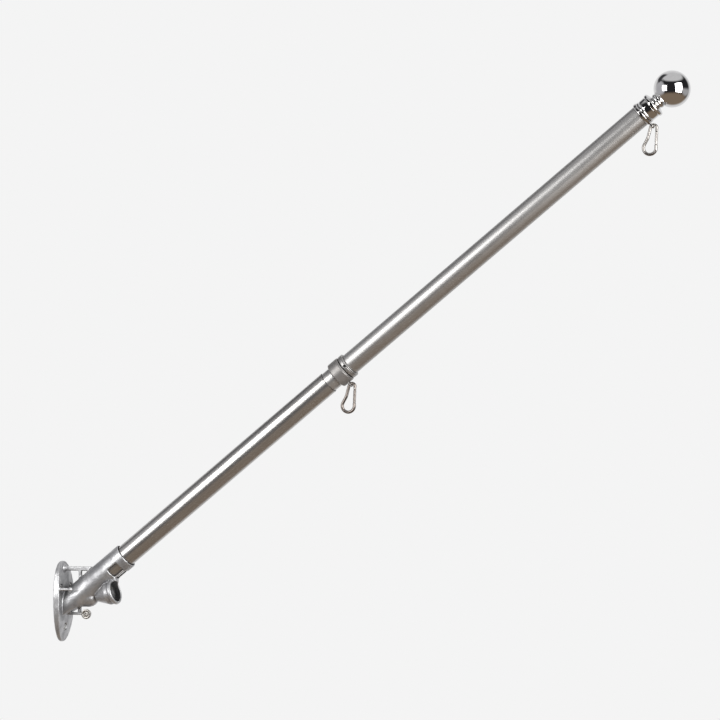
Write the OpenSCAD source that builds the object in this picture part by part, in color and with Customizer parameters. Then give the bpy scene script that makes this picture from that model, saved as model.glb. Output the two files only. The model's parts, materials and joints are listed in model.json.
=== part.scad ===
// Wall-mounted house flagpole: a two-section tube pole seated in a cast two-position wall bracket,
// with a swivelling hook ring at mid length, a second one under the tip ferrule, and a ball finial.
// Millimetres. The origin is the centre of the wall plate's back face; +X leaves the wall, +Z is up.

/* [Wall plate] */
// Height of the oval wall plate
plate_h = 92; // [84:1:110]
// Width of the oval wall plate at its widest
plate_w = 52; // [48:1:70]
// Thickness of the wall plate at its centre
plate_t = 7; // [6.5:0.5:10]
// Thickness of the wall plate at its upper and lower ends
plate_end_t = 3.2; // [3:0.1:5]
// Share by which the top of the oval is wider than its bottom
plate_egg = 0.06; // [0:0.01:0.12]
// Fullness of the oval's corners, where 2 is an ellipse
plate_fullness = 2.25; // [2:0.05:2.6]
// Points round the oval outline
plate_points = 72; // [48:12:96]

/* [Wall screws] */
// Height of the upper pair of screws above the plate's centre
upper_screw_z = 15.5; // [14:0.5:18]
// Distance of each upper screw from the middle of the plate
upper_screw_y = 15; // [14:0.5:16]
// Distance of the bottom screw below the plate's centre
bottom_screw_z = 29; // [26:1:33]
// Diameter of the screw heads
screw_head_d = 8.4; // [7:0.2:8.6]
// Height of the screw heads
screw_head_h = 2; // [1.6:0.1:2.2]
// Depth of the recess that each head sits in
screw_sink = 2.5; // [2:0.1:2.6]
// Diameter of the screw shanks
screw_d = 4.6; // [4:0.1:5]
// Clearance round each shank
screw_gap = 0.3; // [0.2:0.1:0.5]

/* [Main socket] */
// Angle of the pole above the horizontal
pole_rise = 39.5; // [37:0.5:43]
// Height of both socket axes where they leave the plate, from the plate's centre
axis_z = -6; // [-8:0.5:-3]
// Length of the main socket along its axis, from the front of the plate to the mouth
socket_len = 93; // [88:1:110]
// Wall of the main socket
socket_wall = 2; // [1.6:0.1:3]
// Distance along the axis from the front of the plate to the socket's floor
socket_floor = 22; // [20:1:28]
// Clearance between the pole and the socket's wall
socket_gap = 0.3; // [0.2:0.1:0.5]
// Length of each window in the socket's underside
window_len = 13.6; // [10:0.2:16]
// Distance from the windows to the mouth
window_lip = 10.3; // [8:0.1:14]
// Width of each window
window_w = 12.2; // [10:0.2:12.4]
// Distance below the plate's centre where the sloping sole meets the plate
sole_root = 15; // [14:0.5:17]
// Slope of the sole
sole_rise = 29.5; // [27:0.5:32]
// Distance of the level part of the sole below the plate's centre
sole_drop = 5.6; // [5:0.2:7]

/* [Second socket] */
// Bore of the lower, empty socket
second_bore_d = 23; // [21:0.5:24]
// Angle of the lower socket above the horizontal
second_rise = 16.5; // [15:0.5:18]
// Angle by which the lower socket turns sideways
second_yaw = 7.5; // [7:0.5:10]
// Length of the lower socket along its axis, from the front of the plate to the mouth
second_len = 65.5; // [64:0.5:70]
// Length of the straight part of the lower socket's bore
second_depth = 7.5; // [6:0.5:9]
// Length of the tapering end of that bore
second_taper = 11.5; // [8:0.5:12]
// Wall of the lower socket
second_wall = 1.4; // [1.2:0.1:2]
// How far the lip stands over the body of the lower socket
second_lip = 1.5; // [1:0.1:2.5]
// Length of the lip
lip_len = 3.6; // [3:0.1:5]
// Length of the lower socket's whole body
second_body_len = 25.4; // [24:0.2:27]

/* [Webs, lug and horns] */
// Thickness of the webs
web_t = 4; // [3:0.5:5]
// Distance of the upper bar below the top of the plate
upper_bar_drop = 8.5; // [8:0.5:10]
// Height of the upper bar
upper_bar_t = 4.8; // [4:0.2:6]
// Distance of the upper strut from the front of the plate
upper_strut_x = 16.6; // [15:0.2:18]
// Distance of the lower strut from the front of the plate
lower_strut_x = 15.8; // [14:0.2:17]
// Thickness of both struts
strut_t = 3.4; // [3:0.2:4]
// Thickness of the lower bar
lower_bar_t = 3; // [2.5:0.5:4]
// Distance of the lug's hole from the front of the plate
lug_x = 25.4; // [24:0.2:28]
// Distance of the lug's hole below the plate's centre
lug_drop = 14; // [13.5:0.5:15]
// Radius of the lug
lug_r = 4; // [4:0.2:5]
// Width of the lug
lug_w = 5; // [4:0.5:7]
// Height of the two horns above the plate's centre
horn_z = 15; // [12:0.5:17]
// Length of the horns from the front of the plate
horn_len = 12.6; // [10:0.2:16]
// Thickness of the horns at the plate
horn_d = 4.2; // [4:0.2:5]
// Diameter of the bead at the tip of each horn
horn_tip_d = 5.2; // [4.6:0.2:6]

/* [Thumb screw] */
// Diameter of the screw's shank
thumb_d = 4; // [3.6:0.1:4.2]
// Diameter of the knurled head
thumb_head_d = 11.4; // [10:0.2:12]
// Thickness of the knurled head
thumb_head_t = 4; // [3:0.2:6]
// Radial clearance of the shank in the lug
thumb_gap = 0.08; // [0.05:0.01:0.1]

/* [Pole] */
// Diameter of the lower tube
tube_d = 25.4; // [24:0.1:26]
// Diameter of the upper tube
upper_tube_d = 24.4; // [24:0.1:25.4]
// Wall of both tubes
tube_wall = 1.5; // [1.2:0.1:1.8]
// Length of the lower tube
lower_len = 381; // [300:1:600]
// Length of the upper tube
upper_len = 427; // [300:1:600]
// Clearance where parts slide over or into one another
slip = 0.3; // [0.2:0.05:0.4]

/* [Mid collar] */
// Diameter of the visible shoulder between the lower tube and the hook ring
shoulder_d = 23.6; // [23:0.1:24.2]
// Length of that shoulder
shoulder_len = 11; // [8:0.5:14]
// Diameter of the mid hook ring
mid_ring_d = 30; // [29:0.5:34]
// Width of the mid hook ring
mid_ring_w = 14; // [10:0.5:18]
// Gap between the hook ring and the retaining collar
collar_gap = 1.1; // [0.8:0.1:1.6]
// Diameter of the retaining collar
collar_d = 29; // [27:0.5:32]
// Width of the retaining collar
collar_w = 5.6; // [5:0.2:8]
// How far the sleeve reaches into each tube
spigot_len = 30; // [20:1:45]
// Diameter of the collar's set screw
set_screw_d = 3; // [2.5:0.1:3.5]

/* [Tip ferrule and finial] */
// Diameter of the tip's hook ring
tip_ring_d = 28; // [27:0.5:32]
// Width of the tip's hook ring
tip_ring_w = 4.6; // [4:0.2:7]
// Diameter of the ferrule's body
ferrule_d = 25.8; // [25:0.1:28]
// Length of the ferrule's body
ferrule_len = 10.6; // [9:0.2:14]
// Diameter of the ferrule's flange
flange_d = 28.4; // [27:0.2:32]
// Width of the ferrule's flange
flange_w = 3.6; // [3:0.2:5]
// Diameter of the bead under the ball
bead_d = 17.6; // [16:0.2:20]
// Width of that bead
bead_w = 5; // [4:0.2:7]
// Diameter of the ball
ball_d = 40.4; // [36:0.2:46]
// Wall of the hollow ball
ball_wall = 1.4; // [1:0.1:2]

/* [Snap hooks] */
// Thickness of the hook wire
wire_d = 3.6; // [3.4:0.1:3.8]
// Radius of the bend at the head, to the middle of the wire
bend_r = 3.4; // [3.3:0.1:3.6]
// Length of the straight arm under the head
arm_len = 12.5; // [11:0.5:16]
// Slant of that arm from the vertical
arm_slant = 15; // [12:1:18]
// Length of the flared arm above the bowl
flare_len = 8.3; // [7:0.1:11]
// Slant of the flared arm
flare_slant = 28.6; // [25:0.2:32]
// Radius of the bowl, to the middle of the wire
bowl_r = 7; // [6.5:0.1:8]
// Height of the nose over the middle of the bowl
nose_h = 3.4; // [2.5:0.1:4]
// Thickness of the gate
gate_d = 3.2; // [3:0.1:3.6]
// Thickness of the gate's tang
tang_t = 1.1; // [1:0.1:1.2]
// Depth of the gate's pivot below the head's centre
pivot_drop = 2.2; // [2:0.1:2.5]
// Radius of the pivot pin
pivot_r = 0.6; // [0.5:0.05:0.7]
// Thickness of the lug that carries a hook
eye_t = 1.8; // [1.6:0.1:1.9]
// Thickness of the rim round the lug's eye
eye_rim = 1.6; // [1.4:0.1:1.7]
// Clearance round the wire in the lug's eye
eye_gap = 0.35; // [0.3:0.05:0.4]

/* [Hidden] */

$fn = 64;
// Small overlap that makes cuts run clear of the faces they pass through
cut = 1;

// Sockets
socket_r = tube_d / 2 + socket_gap + socket_wall;
bore_r = tube_d / 2 + socket_gap;
window_pitch = 60;
second_r = second_bore_d / 2 + second_wall;
second_tip_r = 5;
fairing_r = 0.8 * socket_r;
fairing_x = 34;
upper_bar_z = plate_h / 2 - upper_bar_drop;
// The plate's front face is part of a cylinder of this radius
crown_r = (pow(plate_h / 2, 2) + pow(plate_t - plate_end_t, 2)) / (2 * (plate_t - plate_end_t));

// Stations along the pole, measured from the front of the plate
lower_s = socket_floor + slip;
joint_s = lower_s + lower_len;
mid_ring_s = joint_s + shoulder_len + slip;
collar_s = mid_ring_s + mid_ring_w + collar_gap;
upper_s = collar_s + collar_w + slip;
tip_s = upper_s + upper_len;
tip_ring_s = tip_s + slip;
ferrule_s = tip_ring_s + tip_ring_w + slip;
flange_s = ferrule_s + ferrule_len;
groove_w = 0.6;
bead_s = flange_s + groove_w + flange_w + 2.6;
ball_s = bead_s + bead_w - 0.6 + sqrt(pow(ball_d / 2, 2) - pow(bead_d / 2, 2));

// Bores and running diameters of the collar and the tip
sleeve_bore_r = upper_tube_d / 2 - tube_wall - 1.7;
neck_r = upper_tube_d / 2 - tube_wall - 0.2;
ring_bore_r = neck_r + slip;
spigot_fit = 0.1;

// Hook pivots and hook outline
pivot_out = 5.6;
knee_r = 12;
bend_end = [bend_r * cos(180 - arm_slant), bend_r * sin(180 - arm_slant)];
knee = bend_end - arm_len * [sin(arm_slant), cos(arm_slant)];
bowl_start = knee - flare_len * [sin(flare_slant), cos(flare_slant)];
bowl_c = bowl_start + bowl_r * [cos(flare_slant), -sin(flare_slant)];
knee_cut = knee_r * tan((flare_slant - arm_slant) / 2);
knee_from = knee + knee_cut * [sin(arm_slant), cos(arm_slant)];
knee_to = knee - knee_cut * [sin(flare_slant), cos(flare_slant)];
knee_c = knee_from - knee_r * [cos(arm_slant), -sin(arm_slant)];
nose = [bowl_c[0] + bowl_r, bowl_c[1] + nose_h];
tongue_t = 0.8;
tongue_h = 2.2;
pivot = [bend_r, -pivot_drop];
gate_start = 2.3;
gate_end = norm(nose - pivot) - slip;
gate_turn = atan2(nose[0] - pivot[0], nose[1] - pivot[1]);
leg_end = -pivot_drop - 1.4;

// A point at station s along the pole and at distance out below it
function pole_point(s, out) = [
    plate_t + s * cos(pole_rise) + out * sin(pole_rise),
    0,
    axis_z + s * sin(pole_rise) - out * cos(pole_rise)
];

// A point of the plate's oval outline at angle a
function oval_power(v) = sign(v) * pow(abs(v), 2 / plate_fullness);
function plate_edge(a) = [
    plate_w / 2 * (1 + plate_egg * sin(a)) * oval_power(cos(a)),
    plate_h / 2 * oval_power(sin(a))
];

// Distance of the plate's domed front from the wall at height z
function plate_front(z) = plate_t - crown_r + sqrt(pow(crown_r, 2) - pow(z, 2));

// Puts its children on the pole's axis at station s, with +Z along the pole and +X below it
module on_pole(s) {
    translate(pole_point(s, 0)) rotate([0, 90 - pole_rise, 0]) children();
}

// The same for the lower socket
module on_second(s) {
    translate([plate_t, 0, axis_z])
        rotate([0, 0, -second_yaw])
            rotate([0, 90 - second_rise, 0])
                translate([0, 0, s]) children();
}

// A turned ring with chamfered edges
module turned_ring(outer, inner, width, chamfer = 0.6) {
    rotate_extrude($fn = 96) polygon([
        [inner, 0], [outer - chamfer, 0], [outer, chamfer],
        [outer, width - chamfer], [outer - chamfer, width], [inner, width]
    ]);
}

// A round bar between two points of the XZ plane, running a little past each of them
module bar_xz(from, to, r, past = 0) {
    d = to - from;
    translate([from[0], 0, from[1]])
        rotate([0, atan2(d[0], d[1]), 0])
            translate([0, 0, -past]) cylinder(h = norm(d) + 2 * past, r = r);
}

// A bent bar in the XZ plane, from angle a0 to angle a1 about point c
module bend_xz(c, big_r, a0, a1, r) {
    translate([c[0], 0, c[1]])
        rotate([90, 0, 0])
            rotate([0, 0, a0])
                rotate_extrude(angle = a1 - a0, $fn = 96) translate([big_r, 0]) circle(r, $fn = 32);
}

// ---- Bracket ----

module plate_body() {
    outline = [for (i = [0:plate_points - 1]) plate_edge(360 * i / plate_points)];
    intersection() {
        rotate([90, 0, 90]) linear_extrude(plate_t + cut) polygon(outline);
        translate([plate_t - crown_r, plate_w, 0])
            rotate([90, 0, 0]) cylinder(h = 2 * plate_w, r = crown_r, $fn = 360);
    }
}

// A window through the wall of the main socket, at an angle below its near side
module socket_window(angle) {
    on_pole(socket_len - window_lip - window_len)
        rotate([0, 0, angle - 90])
            translate([bore_r - 2 * cut, -window_w / 2, 0])
                cube([socket_wall + 4 * cut, window_w, window_len]);
}

// The tube that takes the pole, with its underside cut to a sloping and then a level sole
module main_tube_body() {
    far = socket_len + 2 * socket_r;
    level_x = plate_t + (sole_root - sole_drop) / tan(sole_rise);
    intersection() {
        difference() {
            on_pole(-2 * socket_r) cylinder(h = socket_len + 2 * socket_r, r = socket_r, $fn = 96);
            for (k = [0:2]) socket_window(30 + k * window_pitch);
        }
        translate([0, socket_r + cut, 0]) rotate([90, 0, 0]) linear_extrude(2 * socket_r + 2 * cut)
            polygon([[plate_t / 2, far], [plate_t / 2, -sole_root], [plate_t, -sole_root],
                [level_x, -sole_drop], [far, -sole_drop], [far, far]]);
    }
}

// The rounded swelling under the tube
module fairing() {
    translate([fairing_x, 0, fairing_r - sole_drop - 0.4]) {
        sphere(fairing_r, $fn = 64);
        rotate([0, -90, 0]) cylinder(h = fairing_r, r = fairing_r);
    }
}

// The lower socket's body, turned about its axis: lip, straight part and taper
module second_body() {
    straight = second_depth + 2;
    on_second(second_len) rotate([180, 0, 0]) rotate_extrude($fn = 96) polygon([
        [0, 0], [second_r + 0.4, 0], [second_r + second_lip, 0.65 * lip_len],
        [second_r + second_lip, lip_len], [second_r, lip_len + 0.8], [second_r, straight],
        [second_tip_r, second_body_len], [0, second_body_len]
    ]);
}

module second_bore() {
    bore = second_bore_d / 2;
    on_second(second_len) rotate([180, 0, 0]) rotate_extrude($fn = 96) polygon([
        [0, -4 * lip_len], [bore, -4 * lip_len], [bore, second_depth],
        [second_tip_r, second_depth + second_taper], [0, second_depth + second_taper]
    ]);
}

// The bar and strut between the plate and the top of the tube, with the pad at the bar's root
module upper_web() {
    strut_x = plate_t + upper_strut_x;
    reach = (upper_bar_z - axis_z) / tan(pole_rise);
    pad_r = 1.05 * upper_bar_t;
    translate([plate_t / 2, -web_t / 2, upper_bar_z - upper_bar_t / 2]) cube([reach, web_t, upper_bar_t]);
    translate([strut_x - strut_t / 2, -web_t / 2, 0]) cube([strut_t, web_t, upper_bar_z]);
    translate([cut, 0, upper_bar_z]) rotate([0, 90, 0]) {
        cylinder(h = plate_t - 2.5 * cut, r = pad_r);
        translate([0, 0, plate_t - 2.5 * cut]) cylinder(h = 1.6, r1 = pad_r, r2 = upper_bar_t / 2);
    }
}

// The bar and strut under the tube, with the lug for the thumb screw at the bar's end
module lower_web() {
    ahead = plate_t + lug_x;
    strut_x = plate_t + lower_strut_x;
    translate([plate_t / 2, -web_t / 2, -lug_drop - lower_bar_t / 2])
        cube([lug_x + plate_t / 2, web_t, lower_bar_t]);
    translate([strut_x - strut_t / 2, -web_t / 2, -lug_drop]) cube([strut_t, web_t, lug_drop]);
    translate([ahead, lug_w / 2, -lug_drop]) rotate([90, 0, 0]) cylinder(h = lug_w, r = lug_r);
}

// The web that joins the lower socket's lip to the main tube
module socket_gusset() {
    mouth_x = plate_t + second_len * cos(second_rise) * cos(second_yaw);
    mouth_z = axis_z + second_len * sin(second_rise);
    side = second_len * sin(second_yaw);
    under = axis_z + (mouth_x - plate_t) * tan(pole_rise) - socket_r / cos(pole_rise);
    translate([0, 1, 0]) rotate([90, 0, 0]) linear_extrude(side + 2)
        polygon([[mouth_x - 12, mouth_z], [mouth_x - 2, mouth_z], [mouth_x + 0.8, under - 2],
            [mouth_x - 1.5, under + 4], [mouth_x - 12, under + 4]]);
}

// A horn that a halyard can be made fast to, with a bead at its tip
module horn(side) {
    y = side * (plate_w / 2 - 0.8 * horn_d);
    translate([plate_t / 2, y, horn_z])
        rotate([0, 90, 0]) cylinder(h = plate_t / 2 + horn_len, r1 = horn_d / 2, r2 = 0.3 * horn_tip_d);
    translate([plate_t + horn_len, y, horn_z]) sphere(d = horn_tip_d);
}

module screw_hole(y, z) {
    floor_x = plate_front(z) - screw_sink;
    translate([-cut, y, z]) rotate([0, 90, 0]) cylinder(h = plate_t + 2 * cut, r = screw_d / 2 + screw_gap);
    translate([floor_x, y, z]) rotate([0, 90, 0]) cylinder(h = plate_t, r = screw_head_d / 2 + screw_gap);
}

module bracket_casting() {
    color([0.74, 0.74, 0.74]) difference() {
        union() {
            plate_body();
            main_tube_body();
            fairing();
            second_body();
            upper_web();
            lower_web();
            socket_gusset();
            horn(1);
            horn(-1);
        }
        on_pole(socket_floor) cylinder(h = socket_len, r = bore_r, $fn = 96);
        second_bore();
        screw_hole(-upper_screw_y, upper_screw_z);
        screw_hole(upper_screw_y, upper_screw_z);
        screw_hole(0, -bottom_screw_z);
        translate([plate_t + lug_x, lug_w, -lug_drop])
            rotate([90, 0, 0]) cylinder(h = 2 * lug_w, r = thumb_d / 2 + thumb_gap);
    }
}

// A pan-head screw with a cross recess, its head in the recess and its shank ending inside the plate
module wall_screw(y, z) {
    slot_w = 1.2;
    seat = plate_front(z) - screw_sink;
    color([0.7, 0.7, 0.7]) translate([0, y, z]) rotate([0, 90, 0]) difference() {
        union() {
            translate([0, 0, 0.3]) cylinder(h = seat, r = screw_d / 2);
            translate([0, 0, seat]) cylinder(h = 0.55 * screw_head_h, r = screw_head_d / 2);
            translate([0, 0, seat + 0.55 * screw_head_h])
                cylinder(h = 0.45 * screw_head_h, r1 = screw_head_d / 2, r2 = 0.33 * screw_head_d);
        }
        for (a = [0, 90]) rotate([0, 0, a])
            translate([-0.25 * screw_head_d, -slot_w / 2, seat + 0.4 * screw_head_h])
                cube([0.5 * screw_head_d, slot_w, screw_head_h]);
    }
}

module wall_screw_near() { wall_screw(-upper_screw_y, upper_screw_z); }

module wall_screw_far() { wall_screw(upper_screw_y, upper_screw_z); }

module wall_screw_bottom() { wall_screw(0, -bottom_screw_z); }

module thumb_screw() {
    face = lug_w / 2 + slip;
    recess_r = 0.28 * thumb_head_d;
    color([0.66, 0.64, 0.6]) translate([plate_t + lug_x, 0, -lug_drop]) rotate([90, 0, 0]) difference() {
        union() {
            translate([0, 0, -face - 2]) cylinder(h = 2 * face + 2 + cut, r = thumb_d / 2);
            translate([0, 0, face]) turned_ring(thumb_head_d / 2, 0, thumb_head_t, 0.8);
        }
        translate([0, 0, face + thumb_head_t - 1.6]) cylinder(h = 2 * cut + 1.6, r = recess_r);
    }
}

// ---- Pole ----

module tube(s, length, outer) {
    on_pole(s) difference() {
        cylinder(h = length, r = outer, $fn = 96);
        translate([0, 0, -cut]) cylinder(h = length + 2 * cut, r = outer - tube_wall, $fn = 96);
    }
}

module lower_tube() { color([0.72, 0.7, 0.68]) tube(lower_s, lower_len, tube_d / 2); }

module upper_tube() { color([0.72, 0.7, 0.68]) tube(upper_s, upper_len, upper_tube_d / 2); }

// The sleeve that joins the tubes: a spigot, the shoulder, the neck for the hook ring, and a spigot
module joint_sleeve() {
    lower_spigot_r = tube_d / 2 - tube_wall - spigot_fit;
    neck_len = upper_s - joint_s + spigot_len;
    color([0.68, 0.66, 0.64]) on_pole(joint_s) rotate_extrude($fn = 96) polygon([
        [sleeve_bore_r, -spigot_len], [lower_spigot_r, -spigot_len], [lower_spigot_r, 0],
        [shoulder_d / 2, 0], [shoulder_d / 2, shoulder_len], [neck_r, shoulder_len],
        [neck_r, neck_len], [sleeve_bore_r, neck_len]
    ]);
}

module retaining_collar() {
    color([0.6, 0.59, 0.57]) on_pole(collar_s) difference() {
        turned_ring(collar_d / 2, neck_r, collar_w, 0.5);
        translate([0, 0, collar_w / 2]) rotate([90, 0, 0])
            cylinder(h = collar_d, r = set_screw_d / 2 + 0.02);
    }
}

module set_screw() {
    hex_r = 0.3 * set_screw_d;
    top = collar_d / 2 + 0.4;
    color([0.3, 0.3, 0.3]) on_pole(collar_s + collar_w / 2) rotate([90, 0, 0]) difference() {
        translate([0, 0, neck_r + 0.1]) cylinder(h = top - neck_r - 0.1, r = set_screw_d / 2);
        translate([0, 0, top - 1.2]) cylinder(h = 1.2 + cut, r = hex_r, $fn = 6);
    }
}

// The ferrule: a spigot in the upper tube, the neck for the hook ring, the body, the flange, the cone
module ferrule() {
    body_r = ferrule_d / 2;
    flange_r = flange_d / 2;
    body_z = ferrule_s - tip_s;
    flange_z = flange_s - tip_s;
    step = 2.6;
    seat_r = 0.36 * bead_d;
    cone_z = flange_z + groove_w + flange_w;
    top_z = bead_s - tip_s;
    color([0.6, 0.6, 0.6]) on_pole(tip_s) rotate_extrude($fn = 96) polygon([
        [sleeve_bore_r, -spigot_len], [neck_r, -spigot_len], [neck_r, body_z],
        [body_r + 0.4, body_z], [body_r + 0.4, body_z + step - 0.6], [body_r - 0.6, body_z + step],
        [body_r, body_z + step + 0.6], [body_r, flange_z], [body_r - 1.2, flange_z],
        [body_r - 1.2, flange_z + groove_w], [flange_r, flange_z + groove_w],
        [flange_r, cone_z - 0.8], [flange_r - 0.8, cone_z], [seat_r, top_z],
        [seat_r - 2, top_z], [seat_r - 2, top_z - 3], [sleeve_bore_r, cone_z - 3]
    ]);
}

module finial_bead() {
    color([0.6, 0.6, 0.6]) on_pole(bead_s)
        turned_ring(bead_d / 2, 0.36 * bead_d - 2, bead_w, 1.4);
}

module ball_finial() {
    neck = bead_d / 2 + 0.1;
    color([0.7, 0.7, 0.7]) on_pole(ball_s) difference() {
        sphere(d = ball_d, $fn = 96);
        sphere(r = ball_d / 2 - ball_wall, $fn = 96);
        translate([0, 0, bead_s - ball_s]) cylinder(h = bead_w + 0.1, r = neck, $fn = 96);
        translate([0, 0, bead_s - ball_s - cut]) cylinder(h = ball_d / 2, r = neck - 1.5, $fn = 96);
    }
}

// ---- Hook rings and snap hooks ----

// A ring that turns on a neck, with the lug that carries a snap hook below it
module hook_ring(s, width, outer) {
    eye_x = outer + pivot_out - bend_r;
    eye_r = wire_d / 2 + eye_gap;
    on_pole(s) difference() {
        union() {
            turned_ring(outer, ring_bore_r, width, 0.9);
            translate([eye_x, 0, width / 2 - eye_t / 2]) cylinder(h = eye_t, r = eye_r + eye_rim);
            translate([ring_bore_r + 1, -eye_r - eye_rim, width / 2 - eye_t / 2])
                cube([eye_x - ring_bore_r - 1, 2 * (eye_r + eye_rim), eye_t]);
        }
        translate([eye_x, 0, -cut]) cylinder(h = width + 2 * cut, r = eye_r);
    }
}

// Puts its children at a hook's pivot, where the head's bend has its centre
module at_hook(s, width, outer) {
    translate(pole_point(s + width / 2, outer + pivot_out)) children();
}

// The hook's wire, from the pivot leg over the head, down the arm and round the bowl to the nose.
// The straight stretches are a hair thinner than the bends and end inside them.
module hook_wire() {
    r = wire_d / 2;
    straight_r = r - 0.05;
    lap = 0.3;
    difference() {
        union() {
            bar_xz([bend_r, leg_end + lap], [bend_r, 0], straight_r, lap);
            bend_xz([0, 0], bend_r, 0, 180 - arm_slant, r);
            bar_xz(bend_end, knee_from, straight_r, lap);
            bend_xz(knee_c, knee_r, 360 - flare_slant, 360 - arm_slant, r);
            bar_xz(knee_to, bowl_start, straight_r, lap);
            bend_xz(bowl_c, bowl_r, 180 - flare_slant, 360, r);
            bar_xz([nose[0], bowl_c[1]], nose - [0, lap], straight_r, lap);
            translate([nose[0] - 0.8, -tongue_t / 2, nose[1] - cut]) cube([1.6, tongue_t, tongue_h + cut]);
        }
        translate([bend_r - wire_d, -tang_t / 2 - slip / 2, leg_end - cut])
            cube([2 * wire_d, tang_t + slip, cut - leg_end - 0.5]);
        translate([pivot[0], wire_d, pivot[1]]) rotate([90, 0, 0]) cylinder(h = 2 * wire_d, r = pivot_r + 0.02);
    }
}

// The sprung gate, hanging from its pivot to the nose
module hook_gate() {
    slot_w = tongue_t + 0.6;
    tang_r = 1.3;
    translate([pivot[0], 0, pivot[1]]) rotate([0, gate_turn, 0]) difference() {
        union() {
            translate([0, 0, gate_start]) cylinder(h = gate_end - gate_start, r = gate_d / 2);
            translate([-tang_r, -tang_t / 2, 0]) cube([2 * tang_r, tang_t, gate_start + cut]);
            translate([0, tang_t / 2, 0]) rotate([90, 0, 0]) cylinder(h = tang_t, r = tang_r);
        }
        translate([-gate_d, -slot_w / 2, gate_end - tongue_h - 2 * slip])
            cube([2 * gate_d, slot_w, tongue_h + 2 * slip + cut]);
        translate([0, gate_d, 0]) rotate([90, 0, 0]) cylinder(h = 2 * gate_d, r = pivot_r + 0.06);
    }
}

module hook_pin() {
    translate([pivot[0], wire_d / 2 + 0.1, pivot[1]]) rotate([90, 0, 0]) cylinder(h = wire_d + 0.2, r = pivot_r);
}

module mid_ring() { color([0.6, 0.59, 0.57]) hook_ring(mid_ring_s, mid_ring_w, mid_ring_d / 2); }

module mid_hook() { color([0.5, 0.47, 0.44]) at_hook(mid_ring_s, mid_ring_w, mid_ring_d / 2) hook_wire(); }

module mid_gate() { color([0.55, 0.52, 0.5]) at_hook(mid_ring_s, mid_ring_w, mid_ring_d / 2) hook_gate(); }

module mid_gate_pin() { color([0.5, 0.47, 0.44]) at_hook(mid_ring_s, mid_ring_w, mid_ring_d / 2) hook_pin(); }

module tip_ring() { color([0.6, 0.6, 0.6]) hook_ring(tip_ring_s, tip_ring_w, tip_ring_d / 2); }

module tip_hook() { color([0.7, 0.7, 0.7]) at_hook(tip_ring_s, tip_ring_w, tip_ring_d / 2) hook_wire(); }

module tip_gate() { color([0.75, 0.75, 0.75]) at_hook(tip_ring_s, tip_ring_w, tip_ring_d / 2) hook_gate(); }

module tip_gate_pin() { color([0.7, 0.7, 0.7]) at_hook(tip_ring_s, tip_ring_w, tip_ring_d / 2) hook_pin(); }

bracket_casting();
wall_screw_near();
wall_screw_far();
wall_screw_bottom();
thumb_screw();
lower_tube();
joint_sleeve();
retaining_collar();
set_screw();
upper_tube();
ferrule();
finial_bead();
ball_finial();
mid_ring();
mid_hook();
mid_gate();
mid_gate_pin();
tip_ring();
tip_hook();
tip_gate();
tip_gate_pin();
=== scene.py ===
import json
import math

import bmesh
import bpy
import numpy as np
from mathutils import Matrix, Vector


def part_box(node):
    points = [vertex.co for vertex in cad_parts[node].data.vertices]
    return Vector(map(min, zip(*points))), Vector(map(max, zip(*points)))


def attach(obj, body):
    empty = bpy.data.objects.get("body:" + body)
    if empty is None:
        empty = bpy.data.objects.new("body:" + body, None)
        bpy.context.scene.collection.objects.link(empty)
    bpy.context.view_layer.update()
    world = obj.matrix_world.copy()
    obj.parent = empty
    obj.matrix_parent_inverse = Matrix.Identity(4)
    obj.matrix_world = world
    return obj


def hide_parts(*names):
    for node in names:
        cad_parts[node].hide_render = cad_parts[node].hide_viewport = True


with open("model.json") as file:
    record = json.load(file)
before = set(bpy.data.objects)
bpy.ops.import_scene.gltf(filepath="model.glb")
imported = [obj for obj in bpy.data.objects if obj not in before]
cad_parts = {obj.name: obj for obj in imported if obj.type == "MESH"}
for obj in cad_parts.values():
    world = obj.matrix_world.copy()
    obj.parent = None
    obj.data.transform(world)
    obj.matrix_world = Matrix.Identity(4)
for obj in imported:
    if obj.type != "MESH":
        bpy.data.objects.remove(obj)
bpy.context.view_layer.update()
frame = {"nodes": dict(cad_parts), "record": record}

MM = 0.001
RISE = math.radians(39.5)
ALONG = Vector((math.cos(RISE), 0, math.sin(RISE)))
OUT = Vector((math.sin(RISE), 0, -math.cos(RISE)))
FOOT = Vector((7 * MM, 0, -6 * MM))
# The camera's turn about Z, which the studio's directions follow
CAMERA_TURN = math.radians(15.2)


# ---------------------------------------------------------------- frame helpers

def pole_matrix(s):
    """Local Z runs up the pole from a point s mm along it, local X points down and out."""
    p = FOOT + ALONG * (s * MM)
    return Matrix((
        (OUT.x, 0, ALONG.x, p.x),
        (OUT.y, 1, ALONG.y, p.y),
        (OUT.z, 0, ALONG.z, p.z),
        (0, 0, 0, 1),
    ))


def joint_at(name):
    for j in frame["record"]["behaviour"]["joints"]:
        if j["name"] == name:
            return Vector(j["pos_m"])
    raise SystemExit("no joint " + name)


def add_object(name, mesh):
    ob = bpy.data.objects.new(name, mesh)
    bpy.context.scene.collection.objects.link(ob)
    return ob


def shade(mesh, angle=38):
    mesh.polygons.foreach_set("use_smooth", [True] * len(mesh.polygons))
    mesh.set_sharp_from_angle(angle=math.radians(angle))


# ---------------------------------------------------------------- mesh helpers

def rounded(points, radius, steps=4):
    """A closed outline in mm with each corner replaced by a small arc."""
    out = []
    n = len(points)
    for i in range(n):
        a, b, c = (Vector(points[(i + k) % n]) for k in (-1, 0, 1))
        r = radius
        if len(points[i]) > 2:
            r = points[i][2]
        a, b, c = a.to_2d(), b.to_2d(), c.to_2d()
        u, v = (a - b), (c - b)
        r = min(r, 0.45 * u.length, 0.45 * v.length)
        if r < 1e-4:
            out.append((b.x, b.y))
            continue
        u.normalize()
        v.normalize()
        p, q = b + u * r, b + v * r
        for k in range(steps + 1):
            t = k / steps
            m = p * (1 - t) ** 2 + b * (2 * t * (1 - t)) + q * t ** 2
            out.append((m.x, m.y))
    return out


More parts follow.
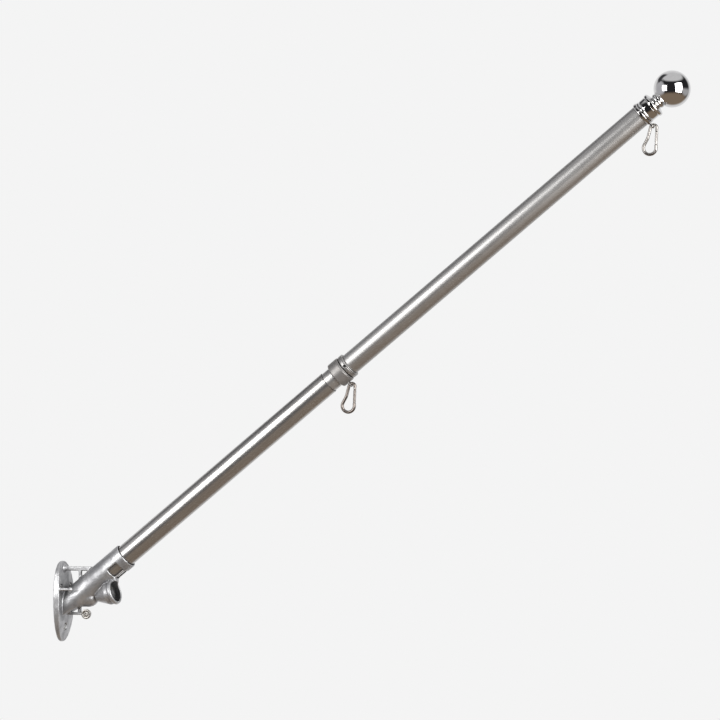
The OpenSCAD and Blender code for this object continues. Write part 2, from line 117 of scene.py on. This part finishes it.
def lathe(name, outline, s, segments=128):
    """Turns an outline of (radius, height) in mm about the pole's axis, its zero at s."""
    verts, faces = [], []
    n = len(outline)
    for k in range(segments):
        a = 2 * math.pi * k / segments
        ca, sa = math.cos(a), math.sin(a)
        for r, z in outline:
            verts.append((r * ca * MM, r * sa * MM, z * MM))
    for k in range(segments):
        k2 = (k + 1) % segments
        for i in range(n):
            j = (i + 1) % n
            faces.append((k * n + i, k2 * n + i, k2 * n + j, k * n + j))
    me = bpy.data.meshes.new(name)
    me.from_pydata(verts, [], faces)
    me.validate()
    me.update()
    fix_normals(me)
    me.transform(pole_matrix(s))
    shade(me)
    return add_object(name, me)


def fix_normals(me):
    bm = bmesh.new()
    bm.from_mesh(me)
    bmesh.ops.remove_doubles(bm, verts=bm.verts, dist=1e-7)
    bmesh.ops.recalc_face_normals(bm, faces=bm.faces)
    bm.to_mesh(me)
    bm.free()


def torus_mesh(at, axis, major, minor, around=96, across=16):
    """A plain ring in metres, given in mm, used to roll a lip onto a casting."""
    turn = Vector(axis).to_track_quat("Z", "Y").to_matrix()
    verts, faces = [], []
    for i in range(around):
        a = 2 * math.pi * i / around
        for j in range(across):
            b = 2 * math.pi * j / across
            r = major + minor * math.cos(b)
            v = turn @ Vector((r * math.cos(a), r * math.sin(a), minor * math.sin(b))) + Vector(at)
            verts.append(v * MM)
            faces.append((i * across + j, (i + 1) % around * across + j,
                          (i + 1) % around * across + (j + 1) % across, i * across + (j + 1) % across))
    me = bpy.data.meshes.new("lip")
    me.from_pydata(verts, [], faces)
    return me


def voxel_copy(name, node, voxel, lips=()):
    """A copy of a CAD node's shape as an even skin of small quads."""
    ob = add_object(name, frame["nodes"][node].data.copy())
    bm = bmesh.new()
    bm.from_mesh(ob.data)
    for lip in lips:
        bm.from_mesh(torus_mesh(*lip))
    bm.to_mesh(ob.data)
    bm.free()
    mod = ob.modifiers.new("skin", "REMESH")
    mod.mode = "VOXEL"
    mod.voxel_size = voxel * MM
    mod.adaptivity = 0
    deps = bpy.context.evaluated_depsgraph_get()
    mesh = bpy.data.meshes.new_from_object(ob.evaluated_get(deps))
    mesh.name = name
    ob.modifiers.clear()
    ob.data = mesh
    mesh.materials.clear()
    return ob


def relax(ob, even=8, rounds=4, fillet=0, tight=0.05):
    """Evens out the skin, rounds its sharp edges, and fills its inner corners as a casting's are."""
    me = ob.data
    n = len(me.vertices)
    co = np.empty(n * 3)
    me.vertices.foreach_get("co", co)
    co = co.reshape(-1, 3) / MM
    lo, hi = co.min(0), co.max(0)
    e = np.empty(len(me.edges) * 2, np.int64)
    me.edges.foreach_get("vertices", e)
    e = e.reshape(-1, 2)
    deg = np.maximum(np.bincount(e.ravel(), minlength=n), 1)[:, None]
    quads = np.array([p.vertices[:] for p in me.polygons if len(p.vertices) == 4])

    def pull(c):
        total = np.zeros_like(c)
        for k in range(3):
            total[:, k] = np.bincount(e[:, 0], c[e[:, 1], k], n)
            total[:, k] += np.bincount(e[:, 1], c[e[:, 0], k], n)
        return total / deg - c

    def normals(c):
        a = c[quads[:, 2]] - c[quads[:, 0]]
        b = c[quads[:, 3]] - c[quads[:, 1]]
        f = np.cross(a, b)
        v = np.zeros_like(c)
        for k in range(3):
            for j in range(4):
                v[:, k] += np.bincount(quads[:, j], f[:, k], n)
        return v / np.maximum(np.linalg.norm(v, axis=1, keepdims=True), 1e-12)

    for _ in range(even):
        co = co + 0.5 * pull(co)
        co = co - 0.52 * pull(co)
    for _ in range(rounds):
        p = pull(co)
        d = np.einsum("ij,ij->i", p, normals(co))
        co = co + 0.5 * p * (np.abs(d) > tight)[:, None]
    for _ in range(fillet):
        p = pull(co)
        d = np.einsum("ij,ij->i", p, normals(co))
        co = co + 0.6 * p * np.clip((d - tight) / tight, 0, 1)[:, None]
    for _ in range(2):
        co = co + 0.5 * pull(co)
        co = co - 0.52 * pull(co)
    co = np.clip(co, lo, hi)
    me.vertices.foreach_set("co", (co * MM).ravel())
    me.update()
    me.polygons.foreach_set("use_smooth", [True] * len(me.polygons))
    return ob


def refined(name, node, body, slot, material, voxel, lips=(), **kw):
    ob = voxel_copy(name, node, voxel, lips)
    relax(ob, **kw)
    return place(ob, body, slot, material, node)


def place(ob, body, slot, material, *nodes):
    ob.data.materials.clear()
    ob.data.materials.append(material)
    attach(ob, body)
    if nodes:
        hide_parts(*nodes)
    return ob


# ---------------------------------------------------------------- materials

class Nodes:
    """Small helper to write a material's node tree in few lines."""

    def __init__(self, name):
        self.m = bpy.data.materials.new(name)
        self.m.use_nodes = True
        self.t = self.m.node_tree
        self.t.nodes.clear()
        self.out = self.t.nodes.new("ShaderNodeOutputMaterial")
        self.p = self.t.nodes.new("ShaderNodeBsdfPrincipled")
        self.link(self.p, "BSDF", self.out, "Surface")
        self.coord = self.t.nodes.new("ShaderNodeTexCoord")

    def link(self, a, ao, b, bi):
        self.t.links.new(a.outputs[ao], b.inputs[bi])

    def mapped(self, scale, along_pole=False):
        n = self.t.nodes.new("ShaderNodeMapping")
        n.inputs["Scale"].default_value = scale
        if along_pole:
            turn = self.t.nodes.new("ShaderNodeMapping")
            turn.inputs["Rotation"].default_value = (0, RISE - math.pi / 2, 0)
            self.link(self.coord, "Object", turn, "Vector")
            self.link(turn, "Vector", n, "Vector")
        else:
            self.link(self.coord, "Object", n, "Vector")
        return n

    def noise(self, at, scale, detail=4, rough=0.55, distort=0.0):
        n = self.t.nodes.new("ShaderNodeTexNoise")
        n.inputs["Scale"].default_value = scale
        n.inputs["Detail"].default_value = detail
        n.inputs["Roughness"].default_value = rough
        n.inputs["Distortion"].default_value = distort
        self.link(at, "Vector", n, "Vector")
        return n

    def cells(self, at, scale):
        n = self.t.nodes.new("ShaderNodeTexVoronoi")
        n.inputs["Scale"].default_value = scale
        self.link(at, "Vector", n, "Vector")
        return n

    def spread(self, src, out, lo, hi, to_lo, to_hi):
        n = self.t.nodes.new("ShaderNodeMapRange")
        n.inputs["From Min"].default_value = lo
        n.inputs["From Max"].default_value = hi
        n.inputs["To Min"].default_value = to_lo
        n.inputs["To Max"].default_value = to_hi
        self.link(src, out, n, "Value")
        return n

    def ramp(self, src, out, stops):
        n = self.t.nodes.new("ShaderNodeValToRGB")
        el = n.color_ramp.elements
        while len(el) < len(stops):
            el.new(0.5)
        for e, (x, c) in zip(el, stops):
            e.position = x
            e.color = (*c, 1)
        self.link(src, out, n, "Fac")
        return n

    def math(self, op, a, ao, b, bo):
        n = self.t.nodes.new("ShaderNodeMath")
        n.operation = op
        self.link(a, ao, n, 0)
        self.link(b, bo, n, 1)
        return n

    def mix(self, fac, fo, a, ao, b, bo):
        n = self.t.nodes.new("ShaderNodeMix")
        n.data_type = "RGBA"
        self.t.links.new(fac.outputs[fo], n.inputs[0])
        self.t.links.new(a.outputs[ao], n.inputs[6])
        self.t.links.new(b.outputs[bo], n.inputs[7])
        return n

    def bump(self, src, out, strength, distance, after=None):
        n = self.t.nodes.new("ShaderNodeBump")
        n.inputs["Strength"].default_value = strength
        n.inputs["Distance"].default_value = distance
        self.link(src, out, n, "Height")
        if after:
            self.link(after, "Normal", n, "Normal")
        return n

    def finish(self, colour, rough=None, normal=None, metallic=1.0, rough_value=None):
        self.p.inputs["Metallic"].default_value = metallic
        self.t.links.new(colour[0].outputs[colour[1]], self.p.inputs["Base Color"])
        if rough:
            self.t.links.new(rough[0].outputs[rough[1]], self.p.inputs["Roughness"])
        if rough_value is not None:
            self.p.inputs["Roughness"].default_value = rough_value
        if normal:
            self.link(normal, "Normal", self.p, "Normal")
        return self.m


def drawn_tube(name, light, dark, rough_lo, rough_hi, metallic=0.88):
    """Satin anodised tube: fine lines along it, faint clouding, a few rubbed bands round it."""
    k = Nodes(name)
    lines = k.noise(k.mapped((420, 420, 6), True), 1.0, 2, 0.5)
    cloud = k.noise(k.mapped((1, 1, 0.35), True), 34, 4, 0.5, 0.3)
    band = k.noise(k.mapped((6, 6, 60), True), 1.0, 2, 0.5)
    clear = k.ramp(lines, "Fac", [(0.3, dark), (0.7, light)])
    dull = k.ramp(lines, "Fac", [(0.3, [0.94 * c for c in dark]), (0.7, [0.96 * c for c in light])])
    tone = k.mix(k.spread(cloud, "Fac", 0.35, 0.68, 0, 1), "Result", clear, "Color", dull, "Color")
    r = k.math("ADD", k.spread(cloud, "Fac", 0.3, 0.7, rough_lo, rough_hi), "Result",
               k.spread(band, "Fac", 0.45, 0.75, 0, 0.02), "Result")
    return k.finish((tone, 2), (r, "Value"), None, metallic=metallic)


def cast_metal(name, light, dark, rough_lo, rough_hi, grain, shade_depth, metallic=0.8, bore=False):
    """Tumbled casting: sandy grain, soft hammered dents, brighter rubbed edges, and painted shade that
    darkens its hollows.
    """
    k = Nodes(name)
    at = k.mapped((1, 1, 1))
    dents = k.noise(at, 130, 3, 0.5, 0.4)
    sand = k.noise(at, 1500, 3, 0.65)
    patch = k.noise(at, 58, 5, 0.6, 0.8)
    pits = k.cells(at, 620)
    geo = k.t.nodes.new("ShaderNodeNewGeometry")
    worn = k.spread(geo, "Pointiness", 0.505, 0.56, 0, 0.55)
    middle = [0.5 * (a + b) for a, b in zip(light, dark)]
    mottle = k.ramp(patch, "Fac", [(0.32, dark), (0.5, middle), (0.68, light)])
    rubbed = [min(1, 1.05 * c) for c in light]
    bare = [min(1, 1.2 * c) for c in light]
    bright = k.ramp(sand, "Fac", [(0.2, rubbed), (0.8, bare)])
    tone = k.mix(worn, "Result", mottle, "Color", bright, "Color")
    # Painted shade: ambient occlusion darkens the colour in hollows, creases and corners between parts
    hollow = k.t.nodes.new("ShaderNodeAmbientOcclusion")
    hollow.samples = 8
    hollow.inputs["Distance"].default_value = 0.030
    deep = k.t.nodes.new("ShaderNodeMix")
    deep.data_type = "RGBA"
    deep.blend_type = "MULTIPLY"
    deep.inputs[0].default_value = 1.0
    k.t.links.new(tone.outputs[2], deep.inputs[6])
    half_shade = 0.5 + 0.5 * shade_depth
    painted_shade = k.ramp(hollow, "AO", [(0.12, (shade_depth,) * 3), (0.45, (half_shade,) * 3), (0.85, (1, 1, 1))])
    k.t.links.new(painted_shade.outputs["Color"], deep.inputs[7])
    tone = deep
    if bore:
        # Painted shade: near-black inside the pole socket and on the cut walls of its windows, where they lie
        # in shadow
        from_foot = k.t.nodes.new("ShaderNodeVectorMath")
        from_foot.operation = "SUBTRACT"
        from_foot.inputs[1].default_value = FOOT
        k.link(k.coord, "Object", from_foot, 0)
        turn = k.t.nodes.new("ShaderNodeMapping")
        turn.inputs["Rotation"].default_value = (0, RISE - math.pi / 2, 0)
        k.link(from_foot, "Vector", turn, "Vector")
        flat = k.t.nodes.new("ShaderNodeVectorMath")
        flat.operation = "MULTIPLY"
        flat.inputs[1].default_value = (1, 1, 0)
        k.link(turn, "Vector", flat, 0)
        far = k.t.nodes.new("ShaderNodeVectorMath")
        far.operation = "LENGTH"
        k.link(flat, "Vector", far, 0)
        split = k.t.nodes.new("ShaderNodeSeparateXYZ")
        k.link(turn, "Vector", split, "Vector")
        inside = k.spread(far, "Value", 0.0144, 0.0139, 0, 1)
        above = k.spread(split, "Z", 0.023, 0.025, 0, 1)
        bore_shade = k.t.nodes.new("ShaderNodeMix")
        bore_shade.data_type = "RGBA"
        both = k.math("MULTIPLY", inside, "Result", above, "Result")
        k.t.links.new(both.outputs[0], bore_shade.inputs[0])
        k.t.links.new(tone.outputs[2], bore_shade.inputs[6])
        bore_shade.inputs[7].default_value = (0.03, 0.03, 0.03, 1)
        tone = bore_shade
    r = k.math("ADD", k.spread(patch, "Fac", 0.3, 0.7, rough_hi, rough_lo), "Result",
               k.spread(sand, "Fac", 0.3, 0.7, -0.03, 0.05), "Result")
    b = k.bump(sand, "Fac", 0.28 * grain, 0.00012)
    b = k.bump(pits, "Distance", 0.10 * grain, 0.0002, b)
    b = k.bump(dents, "Fac", 0.30 * grain, 0.0009, b)
    return k.finish((tone, 2), (r, "Value"), b, metallic=metallic)


def plated(name, light, dark, rough_lo, rough_hi, scale, bump):
    """Polished or satin plating with faint smears and hairlines."""
    k = Nodes(name)
    at = k.mapped((1, 1, 1))
    smear = k.noise(at, scale, 4, 0.55, 0.6)
    hair = k.noise(k.mapped((300, 2600, 2600)), 1.0, 2, 0.5)
    tone = k.ramp(smear, "Fac", [(0.3, dark), (0.7, light)])
    r = k.math("ADD", k.spread(smear, "Fac", 0.35, 0.75, rough_lo, rough_hi), "Result",
               k.spread(hair, "Fac", 0.5, 0.8, 0, 0.35 * (rough_hi - rough_lo)), "Result")
    b = k.bump(smear, "Fac", bump, 0.00006)
    return k.finish((tone, "Color"), (r, "Value"), b)


cast = cast_metal("cast_aluminium", (0.66, 0.66, 0.665), (0.33, 0.33, 0.34), 0.34, 0.52, 1.3, 0.07,
                  metallic=0.86, bore=True)
tube_low = drawn_tube("anodised_lower", (0.62, 0.605, 0.59), (0.55, 0.535, 0.52), 0.26, 0.32, 0.95)
tube_up = drawn_tube("anodised_upper", (0.60, 0.59, 0.58), (0.53, 0.52, 0.51), 0.38, 0.44, 0.97)
ring_mat = cast_metal("ring_satin", (0.36, 0.345, 0.335), (0.29, 0.28, 0.27), 0.42, 0.50, 0.12, 0.5)
collar_mat = drawn_tube("anodised_collar", (0.50, 0.49, 0.48), (0.42, 0.41, 0.40), 0.34, 0.42)
shoulder_mat = drawn_tube("anodised_shoulder", (0.60, 0.59, 0.58), (0.52, 0.51, 0.50), 0.32, 0.38)
chrome = plated("polished_tip", (0.80, 0.795, 0.79), (0.73, 0.725, 0.72), 0.035, 0.065, 90, 0.0)
chrome_ring = plated("polished_tip_ring", (0.66, 0.65, 0.64), (0.55, 0.54, 0.53), 0.08, 0.14, 160, 0.02)
hook_up = plated("hook_bright_steel", (0.42, 0.40, 0.38), (0.28, 0.265, 0.25), 0.24, 0.34, 420, 0.0)
hook_mid = plated("hook_brown_steel", (0.30, 0.265, 0.24), (0.20, 0.175, 0.16), 0.26, 0.36, 420, 0.0)
zinc = plated("zinc_plate", (0.66, 0.66, 0.65), (0.50, 0.50, 0.49), 0.20, 0.34, 700, 0.04)
thumb_mat = plated("thumb_steel", (0.52, 0.50, 0.47), (0.34, 0.32, 0.30), 0.24, 0.36, 500, 0.05)
# Blackened steel for the set screw, also laid on the tubes' ends and bores as painted shade
dark = plated("blackened_steel_and_painted_shade", (0.10, 0.10, 0.10), (0.035, 0.035, 0.035), 0.34, 0.48, 600, 0.05)


# ---------------------------------------------------------------- the bracket

# The lower socket's mouth and the lip rolled round it, in mm
CUP_MOUTH = Vector((69.27, -8.2, 12.6))
CUP_AXIS = Vector((0.9506, -0.1252, 0.2840))
LIP_RING_R = 12.65
LIP_R = 1.3
cup_lip = (CUP_MOUTH - CUP_AXIS * LIP_R, CUP_AXIS, LIP_RING_R, LIP_R)
refined("bracket_cast_body", "bracket_casting", "bracket", "cast_bracket", cast,
        0.66, lips=(cup_lip,), even=6, rounds=4, fillet=40, tight=0.05)

for side in ("near", "far", "bottom"):
    refined("wall_screw_%s_head" % side, "wall_screw_" + side, "bracket", "zinc_screws", zinc,
            0.16, even=3, rounds=3, tight=0.02)


def thumb_screw():
    """Knurled round head with a turned dish and a bright boss, on a plain shank along -Y."""
    lo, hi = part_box("thumb_screw")
    at = joint_at("thumb_screw_turn")
    face = -lo.y / MM
    back = face - 4.0
    tip = -hi.y / MM
    outline = [
        (0, face - 0.75), (1.15, face - 0.75), (1.35, face - 0.95), (1.75, face - 1.45), (2.7, face - 1.5),
        (3.1, face - 1.1), (3.3, face - 0.35), (3.7, face - 0.05), (4.7, face), (5.25, face - 0.2),
        (5.62, face - 0.62), (5.68, face - 1.0), (5.68, back + 1.0), (5.62, back + 0.6), (5.2, back + 0.2),
        (4.6, back), (2.3, back), (2.0, back - 0.3), (2.0, tip + 0.4), (1.7, tip), (0, tip),
    ]
    seg, teeth = 216, 36
    verts, faces = [], []
    for k in range(seg):
        a = 2 * math.pi * k / seg
        for r, z in outline:
            if r > 5.6:
                r = r - 0.16 - 0.16 * math.cos(teeth * a)
            verts.append((at.x + r * math.cos(a) * MM, -z * MM, at.z + r * math.sin(a) * MM))
    n = len(outline)
    for k in range(seg):
        q = (k + 1) % seg
        for i in range(n - 1):
            faces.append((k * n + i, k * n + i + 1, q * n + i + 1, q * n + i))
    me = bpy.data.meshes.new("thumb_screw_knurled")
    me.from_pydata(verts, [], faces)
    me.validate()
    fix_normals(me)
    shade(me, 42)
    ob = add_object("thumb_screw_knurled", me)
    place(ob, "thumb_screw", "thumb_screw", thumb_mat, "thumb_screw")


thumb_screw()


# ---------------------------------------------------------------- the pole

# Sizes and stations up the pole in mm, as in the part
TUBE_WALL = 1.5
LOWER_R = 12.7
LOWER_LEN = 381
LOWER_S = 22.3
UPPER_R = 12.2
UPPER_LEN = 427
JOINT_S = LOWER_S + LOWER_LEN
MID_RING_S = 414.6
COLLAR_S = 429.7
UPPER_S = 435.6
TIP_S = UPPER_S + UPPER_LEN
BEAD_S = 885.2
BALL_S = 907.8


def dark_faces(ob, test):
    """Faces in a joint or a bore get the near-black material as painted shade; test reads (s, distance from
    the axis, slope along it).
    """
    me = ob.data
    me.materials.append(dark)
    inv = pole_matrix(0).inverted()
    turn = inv.to_3x3()
    for p in me.polygons:
        c = inv @ p.center
        if test(c.z / MM, math.hypot(c.x, c.y) / MM, (turn @ p.normal).z):
            p.material_index = 1


def ring_outline(outer, inner, width, corner):
    return rounded([(inner, 0), (outer, 0), (outer, width), (inner, width)], corner)


lower_outline = ring_outline(LOWER_R, LOWER_R - TUBE_WALL, LOWER_LEN, 0.15)
low = place(lathe("lower_tube_drawn", lower_outline, LOWER_S, 160),
            "bracket", "pole_tube", tube_low, "lower_tube")
# Painted shade: the lower tube's ends and bore are near-black
dark_faces(low, lambda s, r, n: abs(n) > 0.4 or r < 11.5)
upper_outline = ring_outline(UPPER_R, UPPER_R - TUBE_WALL, UPPER_LEN, 0.15)
high = place(lathe("upper_tube_drawn", upper_outline, UPPER_S, 160),
             "bracket", "pole_tube", tube_up, "upper_tube")
# Painted shade: the upper tube's ends and bore are near-black
dark_faces(high, lambda s, r, n: abs(n) > 0.4 or r < 11)
place(lathe("joint_sleeve_turned", rounded([
    (9, -30), (11.1, -30), (11.1, 0), (11.8, 0, 0.5), (11.8, 11, 0.6), (10.5, 11, 0.15),
    (10.5, 62.3), (9, 62.3)], 0.3), JOINT_S, 144),
    "bracket", "pole_tube", shoulder_mat, "joint_sleeve")

collar = voxel_copy("retaining_collar_turned", "retaining_collar", 0.22)
relax(collar, even=4, rounds=3, tight=0.02)


def groove(ob, s, at, width, depth, beyond):
    """A turned groove round a ring on the pole, pressed into its skin."""
    me = ob.data
    co = np.empty(len(me.vertices) * 3)
    me.vertices.foreach_get("co", co)
    co = co.reshape(-1, 3)
    inv = np.array(pole_matrix(s).inverted())
    fwd = np.array(pole_matrix(s))
    loc = co @ inv[:3, :3].T + inv[:3, 3]
    r = np.linalg.norm(loc[:, :2], axis=1)
    t = np.clip(1 - np.abs(loc[:, 2] / MM - at) / (0.5 * width), 0, 1)
    t = t * t * (3 - 2 * t)
    cut = np.where((r > beyond * MM) & (t > 0), np.minimum(depth * MM * t, np.maximum(r - beyond * MM, 0)), 0)
    loc[:, :2] *= ((r - cut) / np.maximum(r, 1e-9))[:, None]
    co = loc @ fwd[:3, :3].T + fwd[:3, 3]
    me.vertices.foreach_set("co", co.ravel())
    me.update()


groove(collar, COLLAR_S, 3.9, 1.0, 0.7, 13.2)
place(collar, "bracket", "collar", collar_mat, "retaining_collar")
refined("set_screw_socketed", "set_screw", "bracket", "dark_steel", dark, 0.09, even=3, rounds=2, tight=0.01)

# Tip: ferrule, bead and ball
place(lathe("ferrule_turned", rounded([
    (9, -30), (10.5, -30), (10.5, 5.2), (13.3, 5.2, 0.4), (13.3, 7.0, 0.4), (12.35, 7.7, 0.5),
    (12.9, 8.5, 0.5), (12.9, 15.8, 0.5), (11.7, 15.8, 0.2), (11.7, 16.4, 0.2), (14.2, 16.4, 0.5),
    (14.2, 19.2, 0.7), (13.4, 20.0, 0.5), (6.336, 22.6, 0.3), (4.336, 22.6), (4.336, 19.6), (9, 17)], 0.25),
    TIP_S, 144), "bracket", "chrome_tip", chrome, "ferrule")
place(lathe("finial_bead_turned", rounded([
    (4.336, 0), (7.4, 0, 0.6), (8.8, 1.4, 0.9), (8.8, 3.6, 0.9), (7.4, 5.0, 0.6), (4.336, 5.0)], 0.3),
    BEAD_S, 128), "bracket", "chrome_tip", chrome, "finial_bead")


def ball():
    """A spun hollow ball, open at its neck, with a hair of a seam round its middle."""
    r = 20.2
    wall = 1.4
    neck = 8.9
    inner_neck = neck - 1.5
    seam_depth = 0.03
    a0 = math.asin(-math.sqrt(r * r - neck * neck) / r)
    pts = []
    for k in range(97):
        a = a0 + (math.pi / 2 - a0) * k / 96
        at_seam = abs(math.degrees(a)) < 0.5
        rr = r - seam_depth if at_seam else r
        pts.append((rr * math.cos(a), rr * math.sin(a)))
    inner = []
    r2 = r - wall
    b0 = math.asin(-math.sqrt(r2 * r2 - inner_neck ** 2) / r2)
    for k in range(33):
        a = math.pi / 2 + (b0 - math.pi / 2) * k / 32
        inner.append((r2 * math.cos(a), r2 * math.sin(a)))
    return lathe("ball_finial_spun", pts + inner, BALL_S, 160)


place(ball(), "bracket", "chrome_tip", chrome, "ball_finial")


# ---------------------------------------------------------------- rings, hooks and gates

mid_ring = voxel_copy("mid_ring_turned", "mid_ring", 0.34)
relax(mid_ring, even=5, rounds=4, fillet=10, tight=0.02)
groove(mid_ring, MID_RING_S, 12.6, 0.9, 0.55, 13.6)
place(mid_ring, "mid_ring", "collar", ring_mat, "mid_ring")

tip_ring = voxel_copy("tip_ring_turned", "tip_ring", 0.26)
relax(tip_ring, even=5, rounds=4, fillet=8, tight=0.02)
place(tip_ring, "tip_ring", "chrome_tip", chrome_ring, "tip_ring")

for end, mat in (("mid", hook_mid), ("tip", hook_up)):
    refined(end + "_hook_bent", end + "_hook", end + "_hook", "hook_steel", mat,
            0.20, even=6, rounds=4, fillet=6, tight=0.012)
    refined(end + "_gate_bar", end + "_gate", end + "_gate", "hook_steel", mat,
            0.14, even=5, rounds=3, tight=0.01)
    refined(end + "_gate_rivet", end + "_gate_pin", end + "_hook", "dark_steel", zinc,
            0.09, even=3, rounds=3, tight=0.008)


# ---------------------------------------------------------------- camera, light and floor

scene = bpy.context.scene
cam = bpy.data.objects.new("camera", bpy.data.cameras.new("camera"))
scene.collection.objects.link(cam)
cam.location = (1.3656, -3.7208, 0.2758)
cam.rotation_euler = (math.radians(90), 0, CAMERA_TURN)
cam.data.lens = 172.5
cam.data.sensor_width = 36
cam.data.clip_start = 0.05
cam.data.clip_end = 60
scene.camera = cam
scene.view_settings.view_transform = "Standard"
scene.view_settings.look = "None"


def soft_box(name, at, aim, width, height, watts):
    """A rectangular light, turned to face a point and out of the camera's sight."""
    data = bpy.data.lights.new(name, "AREA")
    data.shape = "RECTANGLE"
    data.size = width
    data.size_y = height
    data.energy = watts
    ob = bpy.data.objects.new(name, data)
    scene.collection.objects.link(ob)
    ob.location = at
    ob.rotation_euler = (Vector(aim) - Vector(at)).to_track_quat("-Z", "Y").to_euler()
    ob.visible_camera = False


soft_box("box_left", (-0.76, -1.77, 0.66), (0.4, 0, 0.3), 1.25, 1.3, 24)
soft_box("box_right", (2.46, -1.35, 0.72), (0.5, 0, 0.35), 1.8, 2.3, 80)


def studio_world():
    """Bright and dark panels by direction for the metal to mirror, and a pale backdrop for the camera."""
    w = bpy.data.worlds.new("studio")
    scene.world = w
    w.use_nodes = True
    t = w.node_tree
    t.nodes.clear()

    coord = t.nodes.new("ShaderNodeTexCoord")

    def dot(v):
        n = t.nodes.new("ShaderNodeVectorMath")
        n.operation = "DOT_PRODUCT"
        n.inputs[1].default_value = v
        t.links.new(coord.outputs["Generated"], n.inputs[0])
        return n.outputs["Value"]

    def step(value, a, b):
        n = t.nodes.new("ShaderNodeMapRange")
        n.interpolation_type = "SMOOTHSTEP"
        n.inputs["From Min"].default_value = a
        n.inputs["From Max"].default_value = b
        t.links.new(value, n.inputs["Value"])
        return n.outputs["Result"]

    def times(a, b):
        n = t.nodes.new("ShaderNodeMath")
        n.operation = "MULTIPLY"
        t.links.new(a, n.inputs[0])
        t.links.new(b, n.inputs[1])
        return n.outputs["Value"]

    def over(below, colour, mask):
        n = t.nodes.new("ShaderNodeMix")
        n.data_type = "RGBA"
        t.links.new(mask, n.inputs[0])
        if isinstance(below, tuple):
            n.inputs[6].default_value = below
        else:
            t.links.new(below, n.inputs[6])
        n.inputs[7].default_value = colour
        return n.outputs[2]

    front = dot((math.sin(CAMERA_TURN), -math.cos(CAMERA_TURN), 0))
    right = dot((math.cos(CAMERA_TURN), math.sin(CAMERA_TURN), 0))
    up = dot((0, 0, 1))
    c = over((0.02, 0.02, 0.022, 1), (0.62, 0.62, 0.63, 1), step(up, 0.62, 0.80))
    c = over(c, (0.46, 0.46, 0.48, 1), step(right, -0.74, -0.88))
    c = over(c, (0.40, 0.40, 0.41, 1), times(step(right, 0.80, 0.92), step(up, 0.15, -0.1)))
    c = over(c, (0.22, 0.168, 0.122, 1), step(up, -0.30, -0.62))
    c = over(c, (0.78, 0.78, 0.79, 1), step(front, -0.35, -0.75))
    c = over(c, (0.05, 0.05, 0.055, 1), times(
        times(step(front, -0.1, -0.3), step(front, -0.85, -0.6)),
        times(step(up, 0.40, 0.52), step(right, -0.2, -0.4))))
    seen = t.nodes.new("ShaderNodeBackground")
    seen.inputs["Color"].default_value = (0.905, 0.905, 0.905, 1)
    room = t.nodes.new("ShaderNodeBackground")
    t.links.new(c, room.inputs["Color"])
    path = t.nodes.new("ShaderNodeLightPath")
    mix = t.nodes.new("ShaderNodeMixShader")
    t.links.new(path.outputs["Is Camera Ray"], mix.inputs[0])
    t.links.new(room.outputs[0], mix.inputs[1])
    t.links.new(seen.outputs[0], mix.inputs[2])
    out = t.nodes.new("ShaderNodeOutputWorld")
    t.links.new(mix.outputs[0], out.inputs["Surface"])


studio_world()


def floor():
    """A pale round floor, well below the pole."""
    me = bpy.data.meshes.new("floor")
    r = 5.0
    steps = 96
    middle_x = 0.4
    level = -0.95
    turns = [2 * math.pi * k / steps for k in range(steps)]
    verts = [(middle_x + r * math.cos(a), r * math.sin(a), level) for a in turns]
    me.from_pydata(verts, [], [tuple(range(steps))])
    ob = add_object("floor", me)
    k = Nodes("floor_matt")
    grain = k.noise(k.mapped((1, 1, 1)), 60, 4)
    tone = k.ramp(grain, "Fac", [(0.3, (0.80, 0.80, 0.80)), (0.7, (0.84, 0.84, 0.84))])
    me.materials.append(k.finish((tone, "Color"), None, None, metallic=0.0, rough_value=0.8))
    ob.visible_glossy = False


floor()
